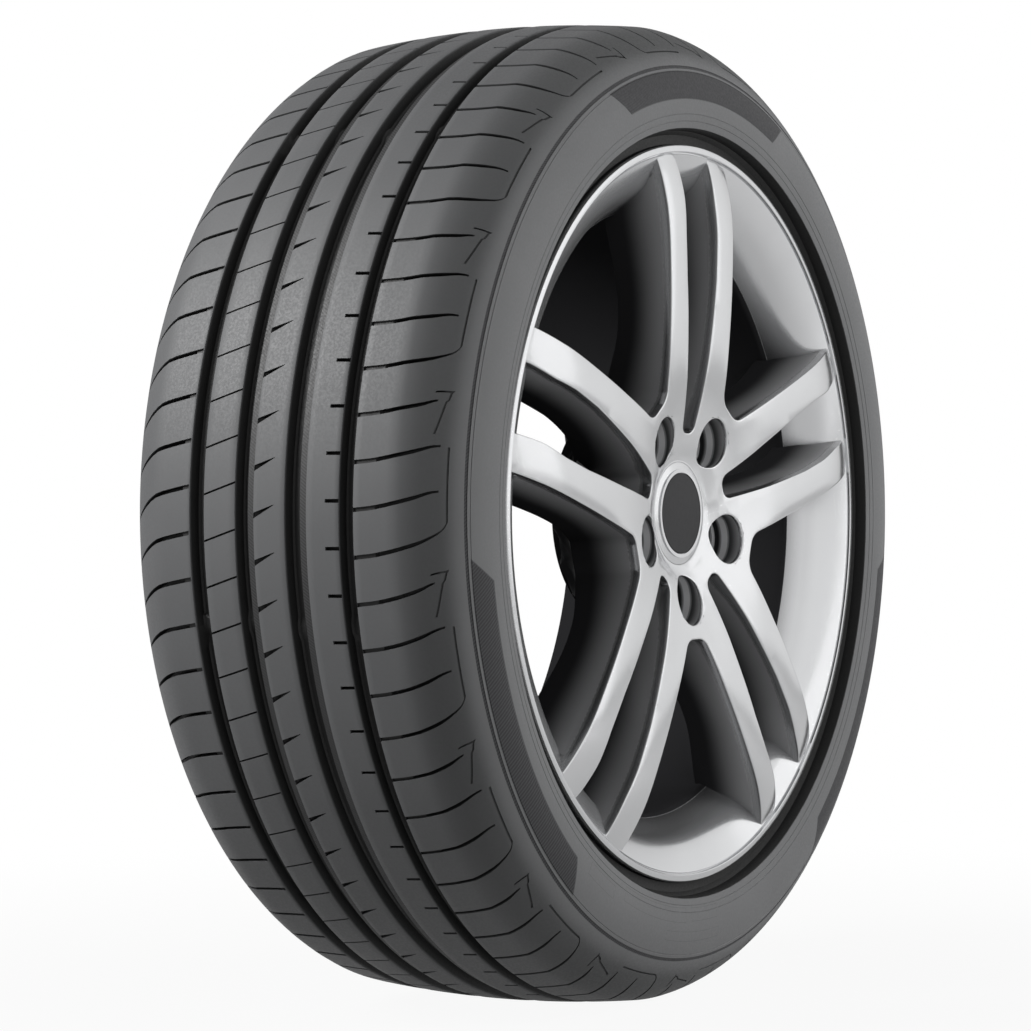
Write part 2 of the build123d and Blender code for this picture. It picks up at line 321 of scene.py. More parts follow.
ground.feed(floor_mix.inputs[2], glow.outputs[0])
ground.feed(ground.add("OutputMaterial").inputs["Surface"], floor_mix.outputs[0])
floor.data.materials.append(floor_paint)
print("floor at", round(tyre_low.z, 4))


# %% [markdown]
# ## Finishes
# Every finish is made from patterns in the part's own space. Effects that several finishes share are node
# groups: a grain, the place on the tyre's skin, fine slanted hatching and a pressed field with a border.

# %% Group: grain
broad_share = 0.03
graph, source, target = new_group("grain", ["Scale"], ["Fine", "Broad"])
grain_group = graph.tree
grain_place = graph.add("TexCoord").outputs["Object"]
broad_scale = graph.maths("MULTIPLY", source["Scale"], broad_share)
for title, detail, scale in (("Fine", 4.0, source["Scale"]), ("Broad", 3.0, broad_scale)):
    noise = graph.add("TexNoise")
    noise.inputs["Detail"].default_value = detail
    graph.feed(noise.inputs["Vector"], grain_place)
    graph.feed(noise.inputs["Scale"], scale)
    graph.feed(target[title], noise.outputs["Fac"])

# %% Group: place on the skin
graph, source, target = new_group("skin_place", [], ["Turn", "Radius"])
place_group = graph.tree
axes = graph.add("SeparateXYZ")
graph.feed(axes.inputs[0], graph.add("TexCoord").outputs["Object"])
leftward = graph.maths("MULTIPLY", axes.outputs["X"], -1.0)
graph.feed(target["Turn"], graph.maths("ARCTAN2", axes.outputs["Z"], leftward))
squares = [graph.maths("POWER", axes.outputs[name], 2.0) for name in "XZ"]
graph.feed(target["Radius"], graph.maths("SQRT", graph.maths("ADD", *squares)))

# %% Group: slanted hatching
line_edge = 0.5
graph, source, target = new_group("hatch", ["Turn", "Radius", "Skin", "Pitch", "Slant"], ["Lines"])
hatch_group = graph.tree
arc = graph.maths("MULTIPLY", graph.maths("MULTIPLY", source["Turn"], source["Radius"]), 1 / MM)
sheared = graph.maths("ADD", arc, graph.maths("MULTIPLY", source["Skin"], source["Slant"]))
phase = graph.maths("MULTIPLY", graph.maths("DIVIDE", sheared, source["Pitch"]), 2 * pi)
graph.feed(target["Lines"], graph.ramp(graph.maths("SINE", phase), -line_edge, line_edge))

# %% Group: pressed field
field_inputs = ["Turn", "Skin", "Centre", "Half Turn", "Middle", "Half Height", "Taper", "Line"]
mm_per_radian = 250.0
field_blur = 0.15
graph, source, target = new_group("pressed_field", field_inputs, ["Field", "Border"])
field_group = graph.tree
from_middle = graph.maths("SUBTRACT", source["Skin"], source["Middle"])
reach = graph.maths("ADD", source["Half Turn"], graph.maths("MULTIPLY", from_middle, source["Taper"]))
from_centre = graph.maths("ABSOLUTE", graph.maths("SUBTRACT", source["Turn"], source["Centre"]))
beyond_end = graph.maths("MULTIPLY", graph.maths("SUBTRACT", from_centre, reach), mm_per_radian)
beyond_side = graph.maths("SUBTRACT", graph.maths("ABSOLUTE", from_middle), source["Half Height"])
beyond = graph.maths("MAXIMUM", beyond_end, beyond_side)
from_border = graph.maths("SUBTRACT", graph.maths("ABSOLUTE", beyond), source["Line"])
graph.feed(target["Field"], graph.ramp(beyond, field_blur, -field_blur))
graph.feed(target["Border"], graph.ramp(from_border, field_blur, -field_blur))
print("groups", [tree.name for tree in bpy.data.node_groups])

# %% [markdown]
# ### Plastic, brass and silver paint
# The cap's disc is dark plastic, and the valve is black rubber and brass. The wheel's paint follows two
# values that the model's points carry. The first, a painted shade, rises from 0 on the bright face to 1 down
# the walls and inside the barrel, where it darkens the colour, less on faces that look to the rear, and dulls
# the paint. "matt" is 1 in the bolt pockets.

# %% Grained finishes
grain_span = (0.3, 0.7)
grain_height = 0.0002
gloss_spread = 0.03


def new_finish(name, roughness, metallic=0.0, specular=0.5):
    """Material with a Principled shader; gives the material, its graph and the shader's inputs."""
    material = bpy.data.materials.new(name)
    material.use_nodes = True
    sockets = material.node_tree.nodes["Principled BSDF"].inputs
    settings = {"Roughness": roughness, "Metallic": metallic, "Specular IOR Level": specular}
    for title, value in settings.items():
        sockets[title].default_value = value
    return material, Graph(material.node_tree), sockets


def raise_skin(finish, sockets, height, strength, distance):
    """Let a finish rise and fall with a pattern."""
    bump = finish.add("Bump")
    bump.inputs["Strength"].default_value = strength
    bump.inputs["Distance"].default_value = distance
    finish.feed(bump.inputs["Height"], height)
    finish.feed(sockets["Normal"], bump.outputs[0])


def grained(name, dark, light, scale, roughness, relief=0.15, **settings):
    """Finish whose colour, gloss and skin vary with a grain."""
    material, finish, sockets = new_finish(name, roughness, **settings)
    speckle = finish.group(grain_group, Scale=scale)
    finish.feed(sockets["Base Color"], finish.blend(speckle["Broad"], dark, light))
    gloss = finish.ramp(speckle["Fine"], *grain_span, roughness - gloss_spread, roughness + gloss_spread)
    finish.feed(sockets["Roughness"], gloss)
    raise_skin(finish, sockets, speckle["Fine"], relief, grain_height)
    return material


cap_dark = grained("cap_dark", (0.014, 0.014, 0.015), (0.022, 0.022, 0.023), 500, 0.4, specular=0.15,
                   relief=0.05)
valve_brass = grained("valve_brass", (0.6, 0.45, 0.22), (0.72, 0.56, 0.3), 600, 0.3, metallic=1.0)
valve_black = grained("valve_black", (0.02, 0.02, 0.021), (0.035, 0.035, 0.037), 400, 0.55, specular=0.3)

# %% Silver paint of the wheel
silver_tones = ((0.62, 0.625, 0.635), (0.67, 0.675, 0.685))
# Painted shade: grey at the top of the walls, near black down them and in the barrel, dark grey facing the
# rear.
edge_shade_grey = (0.27, 0.272, 0.277)
wall_shade_black = (0.016, 0.016, 0.017)
rear_shade_grey = (0.17, 0.171, 0.174)
face_to_edge = (0.02, 0.08)
edge_to_wall = (0.08, 0.75)
wall_to_rear = (0.6, 0.9)
gloss_to_dull = (0.05, 0.3)
mirror_to_matt = (0.04, 0.2)
metal_to_paint = (0.3, 0.7)
mirror_metal = 0.92
matt_metal = 0.25
wheel_silver, finish, sockets = new_finish("wheel_silver", 0.25, mirror_metal, specular=0.0)
speckle = finish.group(grain_group, Scale=900.0)
painted_shade = finish.add("Attribute", attribute_name="painted_shade").outputs["Fac"]
matt = finish.add("Attribute", attribute_name="matt").outputs["Fac"]
face_colour = finish.blend(speckle["Broad"], *silver_tones)
# The colour is darkened by the painted shade, from silver to the edge grey and then to the wall's dark tone.
edge_shaded_colour = finish.blend(finish.ramp(painted_shade, *face_to_edge), face_colour, edge_shade_grey)
axes = finish.add("SeparateXYZ")
finish.feed(axes.inputs[0], finish.add("TexCoord").outputs["Normal"])
wall_colour = finish.blend(finish.ramp(axes.outputs["Y"], *wall_to_rear), wall_shade_black, rear_shade_grey)
finish.feed(sockets["Base Color"], finish.blend(finish.ramp(painted_shade, *edge_to_wall), edge_shaded_colour, wall_colour))
grit = finish.ramp(speckle["Fine"], *grain_span, -0.02, 0.02)
finish.feed(sockets["Roughness"], finish.maths("ADD", finish.ramp(painted_shade, *gloss_to_dull, 0.17, 0.5), grit))
plain = finish.maths("MAXIMUM", matt, finish.ramp(painted_shade, *mirror_to_matt))
metal = finish.ramp(plain, 0.0, 1.0, mirror_metal, matt_metal)
bare = finish.ramp(painted_shade, *metal_to_paint, 1.0, 0.0)
finish.feed(sockets["Metallic"], finish.maths("MULTIPLY", metal, bare))

# %% Finishes of the solids
solid_finishes = (("alloy_wheel", wheel_silver), ("centre_cap", wheel_silver), ("centre_cap_disc", cap_dark),
                  ("valve_stem", valve_black), ("valve_cap", valve_black), ("valve_sleeve", valve_brass),
                  ("valve_core", valve_brass))
for node, material in solid_finishes:
    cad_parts[node].data.materials.clear()
    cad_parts[node].data.materials.append(material)
print("finishes", [m.name for m in bpy.data.materials])

# %% [markdown]
# ### Rubber
# The tyre's points carry "skin", the distance along the skin from the crown line, and "depth" below it.
# Painted shade makes the rubber darkest in grooves and slots, and darker on the shoulder than on the tread.
# It is palest on the sidewall, which has hatched panels and framed fields.

# %% Rubber: tread, shoulder and wall
tread_tones = ((0.06, 0.061, 0.063), (0.076, 0.077, 0.079))
wall_tones = ((0.09, 0.091, 0.093), (0.108, 0.109, 0.111))
# Painted shade darkens the shoulder between the tread and the sidewall.
shoulder_shade_tone = (0.046, 0.047, 0.048)
into_shoulder = (-78.0, -100.0)
out_of_shoulder = (-124.0, -112.0)
into_wall = (-109.0, -128.0)
tyre_rubber, finish, sockets = new_finish("tyre_rubber", 0.55, specular=0.32)
place = finish.group(place_group)
speckle = finish.group(grain_group, Scale=650.0)
skin = finish.add("Attribute", attribute_name="skin").outputs["Fac"]
depth = finish.add("Attribute", attribute_name="depth").outputs["Fac"]
tread_colour = finish.blend(speckle["Broad"], *tread_tones)
wall_colour = finish.blend(speckle["Broad"], *wall_tones)
shoulder = finish.maths("MULTIPLY", finish.ramp(skin, *into_shoulder), finish.ramp(skin, *out_of_shoulder))
shoulder_shaded_colour = finish.blend(shoulder, tread_colour, shoulder_shade_tone)
plain_colour = finish.blend(finish.ramp(skin, *into_wall), shoulder_shaded_colour, wall_colour)

# %% Rubber: panels and framed fields
panel_tones = ((0.014, 0.014, 0.015), (0.034, 0.034, 0.036))
panel_centre = 90.5
panel_every = 120.0
frame_tone = (0.02, 0.02, 0.021)
frame_strength = 0.45
framed_fields = ((-58.5, 3.8, -151.0, 4.0), (-74.5, 9.2, -155.5, 4.6), (-89.3, 3.8, -156.0, 4.2),
                 (-86.0, 7.6, -142.0, 3.0))
ring_place = -126.5
on_skin = {"Turn": place["Turn"], "Radius": place["Radius"], "Skin": skin}


def stripe(centre, outside, inside):
    """1 on a line along the skin, and 0 beyond it."""
    return finish.ramp(finish.maths("ABSOLUTE", finish.maths("SUBTRACT", skin, centre)), outside, inside)


panel_turn = finish.maths("WRAP", place["Turn"], radians(panel_centre + panel_every / 2),
                          radians(panel_centre - panel_every / 2))
panel = finish.group(field_group, Turn=panel_turn, Skin=skin, Centre=radians(panel_centre),
                     Half_Turn=radians(23.0), Middle=-138.4, Half_Height=9.0, Taper=radians(0.17),
                     Line=0.5)
panel_lines = finish.group(hatch_group, **on_skin, Pitch=2.2, Slant=0.8)
panel_colour = finish.blend(panel_lines["Lines"], *panel_tones)
skin_colour = finish.blend(panel["Field"], plain_colour, panel_colour)
borders = panel["Border"]
for centre, half, middle, height in framed_fields:
    field = finish.group(field_group, Turn=place["Turn"], Skin=skin, Centre=radians(centre),
                         Half_Turn=radians(half), Middle=middle, Half_Height=height, Line=0.12)
    borders = finish.maths("MAXIMUM", borders, field["Border"])
framed_colour = finish.blend(finish.maths("MULTIPLY", borders, frame_strength), skin_colour, frame_tone)
lined_colour = finish.blend(stripe(ring_place, 1.3, 0.9), framed_colour, panel_colour)

# %% Rubber: grooves and skin
# Painted shade: below the skin the colour darkens to near black; the ledges keep a hatching at a dark level.
cavity_shade_tone = (0.008, 0.008, 0.008)
skin_to_cavity = (0.15, 1.6)
ledge_tones = ((0.006, 0.006, 0.006), (0.023, 0.023, 0.024))
ledge_places = (13.4, -23.2)
grain_rise = 0.25
ledge_lines = finish.group(hatch_group, **on_skin, Pitch=2.0, Slant=-0.7)
ledge_colour = finish.blend(ledge_lines["Lines"], *ledge_tones)
on_ledge = finish.maths("MAXIMUM", *[stripe(centre, 3.0, 2.6) for centre in ledge_places])
cavity_shaded_colour = finish.blend(on_ledge, cavity_shade_tone, ledge_colour)
rubber_colour = finish.blend(finish.ramp(depth, *skin_to_cavity), lined_colour, cavity_shaded_colour)
finish.feed(sockets["Base Color"], rubber_colour)
finish.feed(sockets["Roughness"], finish.ramp(speckle["Fine"], *grain_span, 0.5, 0.62))
relief = finish.maths("SUBTRACT", finish.maths("MULTIPLY", speckle["Fine"], grain_rise), borders)
raise_skin(finish, sockets, relief, 0.25, 0.0003)
print("rubber", len(tyre_rubber.node_tree.nodes), "nodes")

# %% [markdown]
# ## Tyre
# A tyre is pressed in a mould whose segments repeat round the tread. The pattern here repeats every 20
# degrees: four pitches with a slot each, whose ends differ. One such motif is spun from the tyre's section,
# sheared so that its columns follow the slots, and cut by extruding the slots' faces inwards. Turned copies
# of the motif then close the ring.
#
# The outside is laid out along the skin, as on a flat strip, and bent onto the casing's curves: a crowned
# tread, a shoulder and the wall below the widest place.

# %% Section of the casing
tyre_radius = (tyre_high.z - tyre_low.z) / 2 / MM
half_width = (tyre_high.y - tyre_low.y) / 2 / MM
half_tread = 83.4
crown_drop = 4.85
widest_radius = 262.0
lower_curve = 72.0
protector_reach = 16.2
edge_rise = tyre_radius - crown_drop - widest_radius
edge_out = half_width - half_tread
shoulder_curve = (edge_out ** 2 + edge_rise ** 2) / (2 * edge_out)
edge_turn = asin(edge_rise / shoulder_curve)
widest_skin = half_tread + shoulder_curve * edge_turn
protector_skin = widest_skin + protector_reach


def casing(skin, height=0.0):
    """Lateral place and radius at a distance along the skin from the crown line, and a height above it."""
    side = -1 if skin < 0 else 1
    run = abs(skin)
    if run <= half_tread:
        turn = pi / 2 - atan(2 * crown_drop * run / half_tread ** 2)
        place, radius = run, tyre_radius - crown_drop * (run / half_tread) ** 2
    elif run <= widest_skin:
        turn = edge_turn - (run - half_tread) / shoulder_curve
        place = half_width - shoulder_curve * (1 - cos(turn))
        radius = widest_radius + shoulder_curve * sin(turn)
    else:
        turn = -(run - widest_skin) / lower_curve
        place = half_width - lower_curve * (1 - cos(turn))
        radius = widest_radius + lower_curve * sin(turn)
    return side * (place + height * cos(turn)), radius + height * sin(turn)


print("widest at", round(widest_skin, 1), "mm along the skin")

# %% Rows of the section
groove_depth = 7.6
groove_edges = ((57.6, 46.8), (23.7, 10.4), (-11.5, -26.2), (-48.2, -57.5))
groove_lip = ((0.55, 0.0), (0.1, -0.25), (-0.3, -1.0))
groove_foot = ((-1.5, 0.8), (-2.6, 0.0))
ledge_width = 5.6
ledge_rows = ((0.1, -2.8), (-0.4, -2.2), (0.9 - ledge_width, -1.8))
ring_lines = ((-125.4, 2.2, 0.35), (-129.4, 0.7, 0.25), (-157.0, 0.6, 0.25), (-161.5, 0.6, 0.25))
line_wall = 0.2


def level_rows(*places):
    """Rows that lie on the skin."""
    return [(place, 0.0) for place in places]


def groove_rows(start, end, ledge=False):
    """Skin places and heights down one wall of a groove and up the other, over a ledge or not."""
    down = [(start + run, height) for run, height in groove_lip]
    down += [(start + run, height - groove_depth) for run, height in groove_foot]
    foot = end + ledge_width if ledge else end
    up = [(foot - run, height - groove_depth) for run, height in reversed(groove_foot)]
    if ledge:
        up += [(foot + run, height) for run, height in ledge_rows]
    up += [(end - run, height) for run, height in reversed(groove_lip)]
    return down + up


def line_rows(place, width, depth):
    """Rows of a fine ring line pressed into the outer sidewall."""
    foot = [(place - line_wall, -depth), (place - width + line_wall, -depth)]
    return [(place, 0.0), *foot, (place - width, 0.0)]


skin_rows = level_rows(protector_skin, 158, 150, 142, 134, 126, 119, 114, 110, 106, 102, 98, 94, 89, 84, 79,
                       74, 69, 65.5, 64, 60)
skin_rows += groove_rows(*groove_edges[0]) + level_rows(41, 35, 29)
skin_rows += groove_rows(*groove_edges[1], ledge=True) + level_rows(7, 4, 1, -2, -4, -7.5)
skin_rows += groove_rows(*groove_edges[2], ledge=True) + level_rows(-31, -36, -39, -42, -45)
skin_rows += groove_rows(*groove_edges[3])
skin_rows += level_rows(-62, -67, -71, -72.5, -78, -83.4, -87, -91, -95, -98.5, -101.5, -104, -106, -108,
                        -109.5, -111, -112.5, -113.9, -115.2, -117.5, -120, -123)
skin_rows += line_rows(*ring_lines[0]) + line_rows(*ring_lines[1])
skin_rows += level_rows(-133, -137, -141, -145.5, -150, -154)
skin_rows += line_rows(*ring_lines[2]) + level_rows(-159.5)
skin_rows += line_rows(*ring_lines[3]) + level_rows(-protector_skin)

bead = ((116.4, 245.2), (110.6, 244.6), (107.8, 242.0), (107.4, 238.6), (107.9, 236.1), (104.2, 233.4),
        (101.3, 226.3), (101.3, 218.6), (81.0, 216.8), (88.0, 228.0), (108.0, 246.0), (110.5, 262.0),
        (103.0, 281.0), (83.4, 298.3))
inner_crown = 303.0
hidden_rows = [(-place, radius) for place, radius in bead] + [(0.0, inner_crown), *reversed(bead)]
print(len(skin_rows) + len(hidden_rows), "rows in the section")

# %% [markdown]
# ### Slots
# Water leaves the tread through slots that sweep back over both shoulders. Each pitch has two lines for the
# slot's walls and five for the block. The first slot of a motif ends in a hook that runs into a long frame
# line, and the last one carries an arrow head with a slanted stroke.

# %% Places of the slots
pitch_count = 72
motif_pitches = 4
motif_count = pitch_count // motif_pitches
pitch = 2 * pi * tyre_radius / pitch_count
motif = motif_pitches * pitch
column_lines = (5.4, 6.6, 11.0, 16.0, 21.5)
lines_per_pitch = 2 + len(column_lines)
motif_columns = motif_pitches * lines_per_pitch
slot_columns = [k * lines_per_pitch for k in range(motif_pitches)]
hook_column = slot_columns[0]
hook_start, hook_run = 99, 15.5
hook_sweep = 10.0
hook_fade = (117, 124)
hook_spread = 22
arrow_column = slot_columns[-1]
arrow_tip = arrow_column + 3
arrow_tail = arrow_tip - lines_per_pitch
arrow_lead = 2
arrow_height = 9.4
arrow_rise, arrow_fall = (97, 114), (115.5, 124)
outer_arcs = ((-120, 99.3), (-106, 98.2), (-95, 94.6), (-83, 91.4), (-70, 88.8), (-57.6, 87.5))
rib_arcs = ((-57.6, 87.5), (-49, 92.8), (-39, 92.8), (-26, 91.2), (-11, 91.0), (-4, 90.5), (9.8, 84.5),
            (23.8, 76.2), (46.5, 69.2), (57.5, 74.2))
inner_arcs = ((57.5, 74.2), (70, 72.0), (85, 68.4), (102, 59.5), (118, 50.0))
slot_widths = ((-116, 1.3), (-108, 1.4), (-95, 2.5), (-58, 2.6), (-48, 2.3), (-38, 2.1), (-12, 0.35),
               (-4.5, 0.35), (10, 3.4), (23, 1.25), (47, 1.25), (58, 2.6), (95, 2.6), (112, 1.4))


def along(value, places):
    """Straight runs through (position, value) pairs."""
    for (a, low), (b, high) in zip(places, places[1:]):
        if value <= b:
            return low + (high - low) * max(0.0, value - a) / (b - a)
    return places[-1][1]


def flowing(value, places):
    """Smooth curve through (position, value) pairs, level before the first and after the last."""
    if not places[0][0] < value < places[-1][0]:
        return along(value, places)
    k = next(k for k in range(1, len(places)) if value <= places[k][0])
    (a, low), (b, high) = places[k - 1], places[k]
    (before, first), (after, last) = places[max(k - 2, 0)], places[min(k + 1, len(places) - 1)]
    leave = (high - first) / (b - before) * (b - a)
    arrive = (last - low) / (after - a) * (b - a)
    t = (value - a) / (b - a)
    bend = t * (1 - t) * ((1 - t) * leave - t * arrive)
    return low + (high - low) * t * t * (3 - 2 * t) + bend


def slot_line(skin, column):
    """Arc place of a column line at a row: slots, blocks and the sweep of the long hooked slot."""
    turn, line = divmod(column, lines_per_pitch)
    half_slot = along(skin, slot_widths) / 2
    local = ((-half_slot, half_slot) + column_lines)[line]
    place = turn * pitch + local
    swing = min(1.0, max(0.0, (-skin - hook_start) / hook_run))
    hook = hook_sweep * (1 - sqrt(1 - swing ** 2)) * (1 - smooth_step(-skin, *hook_fade))
    from_hook = (place + motif / 2) % motif - motif / 2
    place += hook * max(0.0, 1 - abs(from_hook) / hook_spread)
    if skin < outer_arcs[-1][0]:
        return flowing(skin, outer_arcs) + place
    if skin > inner_arcs[0][0]:
        return flowing(skin, inner_arcs) + place
    return along(skin, rib_arcs) + place


def arrow_pull(skin, column):
    """Inward shift of the rows that carry the slanted stroke of the arrow head."""
    to_tip = (arrow_tip - column) / lines_per_pitch
    from_lead = (column - arrow_tail + arrow_lead) / arrow_lead
    reach = max(0.0, min(to_tip, from_lead))
    rows = smooth_step(-skin, *arrow_rise) * (1 - smooth_step(-skin, *arrow_fall))
    return arrow_height * reach * rows


# %% One motif of the ring
tyre_bm = bmesh.new()
row_layer = tyre_bm.verts.layers.int.new("row")
skin_layer = tyre_bm.verts.layers.float.new("skin")
depth_layer = tyre_bm.verts.layers.float.new("depth")
section_rows = [casing(*row) for row in skin_rows] + hidden_rows
section = [tyre_bm.verts.new((-radius, place, 0)) for place, radius in section_rows]
for index, vert in enumerate(section):
    vert[row_layer] = index
wire = [tyre_bm.edges.new((a, b)) for a, b in zip(section, section[1:] + section[:1])]
bmesh.ops.spin(tyre_bm, geom=section + wire, **axle, angle=2 * pi / motif_count, steps=motif_columns,
               use_merge=False, use_duplicate=False)
tyre_bm.verts.ensure_lookup_table()
column_layer = tyre_bm.verts.layers.int.new("column")
column_turn = 2 * pi / motif_count / motif_columns
for vert in tyre_bm.verts:
    turn = atan2(vert.co.z, -vert.co.x)
    vert[column_layer] = round(abs(turn) / column_turn)
print("motif", len(tyre_bm.verts), "points", len(tyre_bm.faces), "faces")

# %% Shear the columns along the slots
wall_skin = 150
hidden_depth = 4.0
for vert in tyre_bm.verts:
    row, column = vert[row_layer], vert[column_layer]
    if row < len(skin_rows):
        skin, height = skin_rows[row]
        pulled = skin + arrow_pull(skin, column)
        place, radius = casing(pulled, height)
        arc = slot_line(skin, column)
        vert[skin_layer], vert[depth_layer] = pulled, -height
    else:
        place, radius = hidden_rows[row - len(skin_rows)]
        arc = slot_line(copysign(wall_skin, place), column)
        vert[skin_layer], vert[depth_layer] = copysign(protector_skin, place), hidden_depth
    turn = arc / tyre_radius
    vert.co = (-radius * cos(turn), place, radius * sin(turn))

# %% [markdown]
# ### Cuts
# A slot's faces are extruded into the rubber to a depth that varies along the skin, and is shallow where the
# slot runs out. Low wear bars cross the grooves six times round the tyre, as on every road tyre.


# %% Cut the slots
row_slack = 0.01


def slot_faces(first, last, columns):
    """Faces between two skin places, in the given columns of the motif."""
    low, high = min(first, last) - row_slack, max(first, last) + row_slack
    rows = [row for row, (skin, height) in enumerate(skin_rows) if low <= skin <= high]
    return [face for face in tyre_bm.faces if all(v[row_layer] in rows for v in face.verts)
            and min(v[column_layer] for v in face.verts) in columns]


def cut(faces, depths):
    """Extrude faces into the rubber, to depths given along the skin."""
    for vert in points_of(pushed(tyre_bm, faces)):
        skin, height = skin_rows[vert[row_layer]]
        pulled = skin + arrow_pull(skin, vert[column_layer])
        floor_height = min(height, -along(skin, depths))
        vert[depth_layer] = -floor_height
        vert.co.y, radius = casing(pulled, floor_height)
        set_radius(vert, radius)


outer_depths = ((-116, 0.9), (-110, 1.0), (-100, 5.5), (-73, 6.2), (-72, 1.6), (-57, 1.6))
inner_depths = ((57, 1.6), (64, 1.6), (65.5, 6.2), (100, 5.5), (112, 1.0))
sipe_depths = ((23, 5.0), (47, 5.0))
wedge_depths = ((-4.5, 0.6), (-1, 3.0), (4, 4.5), (7, 4.5), (10, 1.6))
notch_depths = ((-49, 4.5), (-38, 4.5))
outer_end = -57.4
frame_line = (-113.9, -115.2)
band = slot_faces(*frame_line, range(hook_column, hook_column + 2 * lines_per_pitch))
band += slot_faces(*frame_line, range(arrow_tail, arrow_tip))
band += slot_faces(-104, frame_line[0], [arrow_tip - 1])
band += slot_faces(outer_end, frame_line[0], [hook_column])
band += slot_faces(outer_end, -109.5, slot_columns[1:-1])
band += slot_faces(outer_end, -108, [arrow_column])
cut(band, outer_depths)
cut(slot_faces(58, 114, slot_columns), inner_depths)
cut(slot_faces(23.5, 46.9, slot_columns), sipe_depths)
cut(slot_faces(-4, 10.4, slot_columns), wedge_depths)
cut(slot_faces(-48.3, -39, slot_columns), notch_depths)
print("cut motif", len(tyre_bm.faces), "faces")

# %% Close the ring
wear_height = 1.6
wear_every = 60
wear_start = 11.8
wear_half = 1.1
turn_copies(tyre_bm, motif_count)
for vert in tyre_bm.verts:
    turn = degrees(atan2(vert.co.z, -vert.co.x))
    from_bar = (turn + wear_start + wear_every / 2) % wear_every - wear_every / 2
    if vert[depth_layer] > groove_depth - 1 and abs(from_bar) < wear_half:
        set_radius(vert, from_axle(vert) + wear_height)
finish_piece(tyre_bm, "tyre_moulded", tyre_rubber, ["tyre"])

# %% [markdown]
# ## Wheel spokes
# A cast wheel's face is one flowing surface with windows cut through it. Half of a spoke pair is drawn flat,
# as seen from the front, sliced, mirrored and turned round to give the whole star. The star becomes a slab,
# its front edges are inset for the rounded edges, and at last every point is set onto the crowned front, the
# drafted walls or the back. Drawing it flat keeps the windows and gaps easy to lay out.

# %% Outline of half a spoke pair
spoke_count = 5
half_sector = pi / spoke_count
hub_hole = 33.2
pocket_radius = 16.0
bolt_radius = 56.0
window_floor = 81.0
window_corner = 13.0
arm_edge = ((39.0, 81.0), (45.6, 235.8))
gap_floor = 51.5
gap_corner = 6.8
gap_edge = ((51.5, 7.4), (100, 14.2), (150, 19.8), (178, 21.2), (202, 20.2), (232, 22.4))
rim_end = 231.5
rim_trim = 0.2
outline_step = 5.5
gap_stations = range(60, 226, 5)


def on_window_axis(radius):
    """Point on the axis of the window beside the pair on +Z."""
    return Vector((radius * sin(half_sector), radius * cos(half_sector)))


def run_between(start, end):
    """Points along a straight run, without its end."""
    steps = max(1, round((end - start).length / outline_step))
    return [start.lerp(end, k / steps) for k in range(steps)]


def rounded(before, corner, after, radius, steps):
    """Points of an arc that rounds a corner."""
    to_before, to_after = (before - corner).normalized(), (after - corner).normalized()
    half = to_before.angle(to_after) / 2
    centre = corner + (to_before + to_after).normalized() * (radius / sin(half))
    first = corner + to_before * (radius / tan(half)) - centre
    last = corner + to_after * (radius / tan(half)) - centre
    sweep = first.angle_signed(last)
    return [centre + Matrix.Rotation(-sweep * k / steps, 2) @ first for k in range(steps + 1)]


def at_rim(across):
    """Point of the spoke's rim end at a distance across from the pair's axis."""
    return Vector((across, sqrt(rim_end ** 2 - across ** 2)))


def half_pair_outline():
    """Outline of the half pair: up the pair's axis, round the gap, the rim end, down the window's edge."""
    gap_foot = Vector((0.0, gap_floor))
    gap_turn = Vector((gap_edge[0][1], gap_floor))
    gap_side = [Vector((along(z, gap_edge), z)) for z in gap_stations]
    points = run_between(Vector((0.0, hub_hole)), gap_foot)
    points += [gap_foot] + rounded(gap_foot, gap_turn, gap_side[0], gap_corner, steps=6) + gap_side
    rim_out = at_rim(arm_edge[1][0] - rim_trim)
    points += run_between(at_rim(along(rim_end, gap_edge)), rim_out)
    axis_foot = on_window_axis(window_floor)
    lean = (arm_edge[1][0] - arm_edge[0][0]) / (arm_edge[1][1] - arm_edge[0][1])
    sine, cosine = sin(half_sector), cos(half_sector)
    corner_z = (window_floor - sine * (arm_edge[0][0] - lean * arm_edge[0][1])) / (cosine + sine * lean)
    corner = Vector((arm_edge[0][0] + lean * (corner_z - arm_edge[0][1]), corner_z))
    turn = rounded(rim_out, corner, axis_foot, window_corner, steps=7)
    points += run_between(rim_out, turn[0]) + turn
    points += run_between(turn[-1], axis_foot)[1:]
    return points + run_between(axis_foot, on_window_axis(bolt_radius + pocket_radius))


def turned_points(first, angle, steps, centre=Vector((0, 0))):
    """Points of an arc about a centre, from its first arm through an angle."""
    return [centre + Matrix.Rotation(angle * k / steps, 2) @ first for k in range(steps + 1)]


bolt_centre = on_window_axis(bolt_radius)
pocket_arc = turned_points(on_window_axis(pocket_radius), pi, steps=16, centre=bolt_centre)
hub_arc = turned_points(on_window_axis(hub_hole), half_sector, steps=7)
outline = half_pair_outline() + pocket_arc + run_between(pocket_arc[-1], hub_arc[0])[1:] + hub_arc[:-1]
print("half pair outline", len(outline), "points")

# %% Flat star
cross_slices = range(38, 230, 6)
long_slices = (10, 19, 27, 34)
star_bm = bmesh.new()
pocket_layer = star_bm.faces.layers.int.new("pocket")
flat_verts = {}


def flat_face(points):
    """Flat face through outline points, sharing vertices with its neighbours."""
    keys = [(round(p.x, 3), round(p.y, 3)) for p in points]
    for key in keys:
        if key not in flat_verts:
            flat_verts[key] = star_bm.verts.new((key[0], 0, key[1]))
    return star_bm.faces.new([flat_verts[key] for key in keys])


